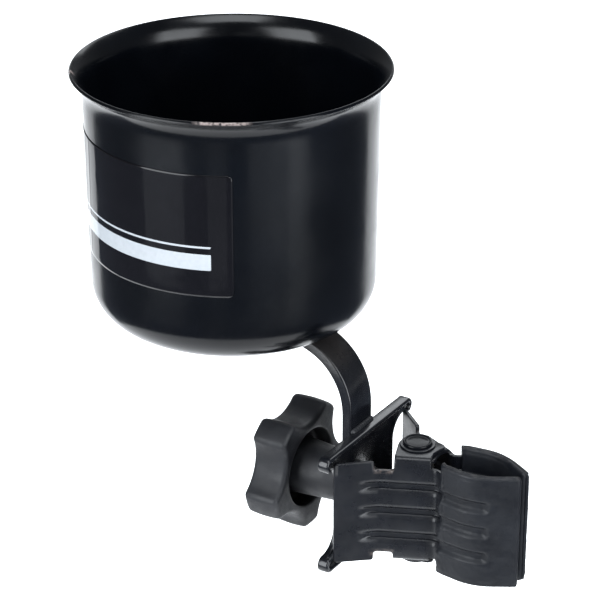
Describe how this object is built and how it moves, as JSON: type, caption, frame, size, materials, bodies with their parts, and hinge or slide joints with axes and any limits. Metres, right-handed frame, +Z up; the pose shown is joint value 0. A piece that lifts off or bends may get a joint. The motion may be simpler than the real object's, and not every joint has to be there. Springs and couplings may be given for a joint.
{
  "type": "clamp-on drink holder",
  "caption": "Pressed steel cup on a bent flat strap, held by a knob-tightened toggle clamp whose padded jaws grip a round stand tube.",
  "frame": {"origin": "middle of the closed grip between the two padded jaws, on the axis of the clamp screw", "axes": "+X along the clamp screw, from the cup towards the jaws; +Y towards the far jaw; +Z up along the gripped tube and the cup's axis"},
  "size_m": [0.1423, 0.0912, 0.1401],
  "materials": {
    "cup_enamel": "gloss",
    "label_film": "gloss",
    "strap_paint": "gloss",
    "weld_paint": "satin",
    "yoke_paint": "gloss",
    "knob_plastic": "matte",
    "cap_plastic": "satin",
    "zinc_steel": "satin",
    "barrel_steel": "satin",
    "rivet_paint": "gloss",
    "jaw_paint": "satin",
    "sleeve_vinyl": "matte"
  },
  "bodies": {
    "holder": {"cup": "cup_enamel", "cup_label": "label_film", "strap": "strap_paint", "cup_weld": "weld_paint", "yoke": "yoke_paint", "yoke_weld": "weld_paint"},
    "knob": {"knob": "knob_plastic", "knob_cap": "cap_plastic", "clamp_screw": "zinc_steel", "thrust_washer": "zinc_steel", "retaining_ring": "zinc_steel"},
    "pivot": {"pivot_barrel": "barrel_steel", "pivot_rivets": "rivet_paint", "pivot_washers": "jaw_paint"},
    "near_jaw": {"near_jaw": "jaw_paint", "near_jaw_sleeve": "sleeve_vinyl"},
    "far_jaw": {"far_jaw": "jaw_paint", "far_jaw_sleeve": "sleeve_vinyl"}
  },
  "joints": [
    {"name": "knob_turn", "type": "hinge", "parent": "holder", "child": "knob", "pos_m": [-0.05, 0, 0], "axis": [-1, 0, 0], "range_deg": [0, 2160]},
    {"name": "pivot_slide", "type": "slide", "parent": "holder", "child": "pivot", "axis": [1, 0, 0], "range_m": [0, 0.006]},
    {"name": "near_jaw_swing", "type": "hinge", "parent": "pivot", "child": "near_jaw", "pos_m": [-0.022, 0, 0], "axis": [0, 0, -1], "range_deg": [0, 20.5]},
    {"name": "far_jaw_swing", "type": "hinge", "parent": "pivot", "child": "far_jaw", "pos_m": [-0.022, 0, 0], "axis": [0, 0, 1], "range_deg": [0, 20.5]}
  ],
  "couplings": [
    {"joint": "knob_turn", "follows": "pivot_slide", "rad_per_m": 6283.2},
    {"joint": "near_jaw_swing", "follows": "pivot_slide", "rad_per_m": 59.632},
    {"joint": "far_jaw_swing", "follows": "pivot_slide", "rad_per_m": 59.632}
  ]
}
